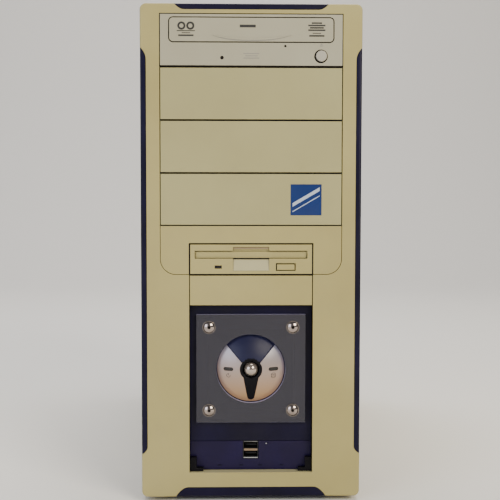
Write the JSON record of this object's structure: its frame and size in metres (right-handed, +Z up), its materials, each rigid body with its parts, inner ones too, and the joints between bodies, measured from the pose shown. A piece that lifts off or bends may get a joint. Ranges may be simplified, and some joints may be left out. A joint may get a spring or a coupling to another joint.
{
  "type": "desktop computer tower",
  "caption": "Cream midi tower computer case with drives, boards, power supply, dark blue trims and a chrome power button.",
  "frame": {"origin": "on the floor under the middle of the whole tower", "axes": "+X to the right seen from the front, +Y from the front to the back, +Z up"},
  "size_m": [0.181, 0.439, 0.41],
  "materials": {
    "cream_abs": "moulded, aged cream",
    "cream_abs_covers": "moulded, fine texture",
    "drive_abs": "moulded, pale grey beige",
    "navy_abs": "moulded dark blue, satin",
    "acrylic": "clear smoky sheet with polished edges",
    "chrome": "polished plating",
    "silver_lacquer": "silver lacquer, semi gloss",
    "lens": "smoked lens",
    "zinc_sheet": "galvanised sheet",
    "painted_sheet": "cream powder coat",
    "drive_sheet": "pressed sheet",
    "black_plastic": "moulded black",
    "rubber": "moulded foot",
    "white_plastic": "acetal gear",
    "cast_disk": "cast and painted",
    "board_green": "solder mask",
    "socket_plastic": "moulded sockets",
    "aluminium": "extruded fins",
    "port_metal": "plated shells",
    "ribbon": "grey ribbon",
    "harness": "bundled leads"
  },
  "bodies": {
    "case": {"bezel_shell": "cream_abs", "drive_surround": "cream_abs", "trim_left": "navy_abs", "trim_right": "navy_abs", "trim_top": "navy_abs", "trim_bottom": "navy_abs", "bay_cover_upper": "cream_abs_covers", "bay_cover_middle": "cream_abs_covers", "bay_cover_lower": "cream_abs_covers", "small_bay_cover": "cream_abs_covers", "control_panel": "navy_abs", "usb_panel": "navy_abs", "acrylic_plate": "acrylic", "plate_screws": "chrome", "control_dome": "navy_abs", "dome_wings": "silver_lacquer", "indicator_lenses": "lens", "usb_ports": "port_metal", "base_pan": "zinc_sheet", "rear_panel": "zinc_sheet", "front_frame": "zinc_sheet", "top_cover": "painted_sheet", "board_tray": "zinc_sheet", "large_drive_cage": "zinc_sheet", "small_drive_cage": "zinc_sheet", "feet": "rubber", "slot_covers": "zinc_sheet", "optical_case": "drive_sheet", "optical_bezel": "drive_abs", "floppy_case": "drive_sheet", "floppy_bezel": "cream_abs", "hard_disk": "cast_disk", "motherboard": "board_green", "board_sockets": "socket_plastic", "memory_modules": "board_green", "heatsink": "aluminium", "cpu_fan_frame": "black_plastic", "expansion_card": "board_green", "rear_ports": "port_metal", "supply_case": "zinc_sheet", "supply_fan_frame": "black_plastic", "mains_inlet": "black_plastic", "ribbon_cables": "ribbon", "power_harness": "harness"},
    "disc_drawer": {"disc_tray": "black_plastic", "tray_door": "drive_abs"},
    "drawer_gear": {"tray_gear": "white_plastic"},
    "spindle": {"disc_spindle": "drive_sheet"},
    "sled": {"laser_sled": "black_plastic"},
    "optical_eject": {"optical_button": "drive_abs"},
    "flap": {"floppy_flap": "cream_abs"},
    "floppy_eject": {"floppy_button": "cream_abs"},
    "power": {"power_button": "chrome"},
    "processor_fan": {"cpu_fan_rotor": "black_plastic"},
    "supply_fan": {"supply_fan_rotor": "black_plastic"},
    "rocker": {"mains_rocker": "black_plastic"},
    "left_panel": {"left_side_panel": "painted_sheet", "left_thumb_screws": "chrome"},
    "right_panel": {"right_side_panel": "painted_sheet", "right_thumb_screws": "chrome"}
  },
  "joints": [
    {"name": "tray_slide", "type": "slide", "parent": "case", "child": "disc_drawer", "axis": [0, -1, 0], "range_m": [0, 0.135]},
    {"name": "gear_turn", "type": "hinge", "parent": "case", "child": "drawer_gear", "pos_m": [0.03, -0.1915, 0.382], "axis": [0, 0, -1], "range_deg": [-10, 870]},
    {"name": "disc_spin", "type": "hinge", "parent": "case", "child": "spindle", "pos_m": [0, -0.1475, 0.378], "axis": [0, 0, 1], "continuous": true},
    {"name": "sled_slide", "type": "slide", "parent": "case", "child": "sled", "axis": [0, 1, 0], "range_m": [0, 0.034]},
    {"name": "optical_press", "type": "slide", "parent": "case", "child": "optical_eject", "axis": [0, 1, 0], "range_m": [0, 0.0012], "stiffness_N_per_m": 400, "springref_m": -0.0005},
    {"name": "flap_turn", "type": "hinge", "parent": "case", "child": "flap", "pos_m": [0, -0.2139, 0.20815], "axis": [1, 0, 0], "range_deg": [0, 80], "stiffness_Nm_per_rad": 0.002, "springref_deg": -11.46},
    {"name": "floppy_press", "type": "slide", "parent": "case", "child": "floppy_eject", "axis": [0, 1, 0], "range_m": [0, 0.004], "stiffness_N_per_m": 300, "springref_m": -0.001},
    {"name": "power_press", "type": "slide", "parent": "case", "child": "power", "axis": [0, 1, 0], "range_m": [0, 0.002], "stiffness_N_per_m": 600, "springref_m": -0.0005},
    {"name": "processor_fan_spin", "type": "hinge", "parent": "case", "child": "processor_fan", "pos_m": [0.0334, 0.1165, 0.233], "axis": [-1, 0, 0], "continuous": true},
    {"name": "supply_fan_spin", "type": "hinge", "parent": "case", "child": "supply_fan", "pos_m": [-0.026, 0.1965, 0.36], "axis": [0, 1, 0], "continuous": true},
    {"name": "rocker_tilt", "type": "hinge", "parent": "case", "child": "rocker", "pos_m": [0.05, 0.2065, 0.34], "axis": [1, 0, 0], "range_deg": [0, 20]},
    {"name": "left_panel_slide", "type": "slide", "parent": "case", "child": "left_panel", "axis": [0, 1, 0], "range_m": [0, 0.44]},
    {"name": "right_panel_slide", "type": "slide", "parent": "case", "child": "right_panel", "axis": [0, 1, 0], "range_m": [0, 0.44]}
  ],
  "couplings": [
    {"joint": "gear_turn", "follows": "tray_slide", "rad_per_m": 111.11}
  ]
}
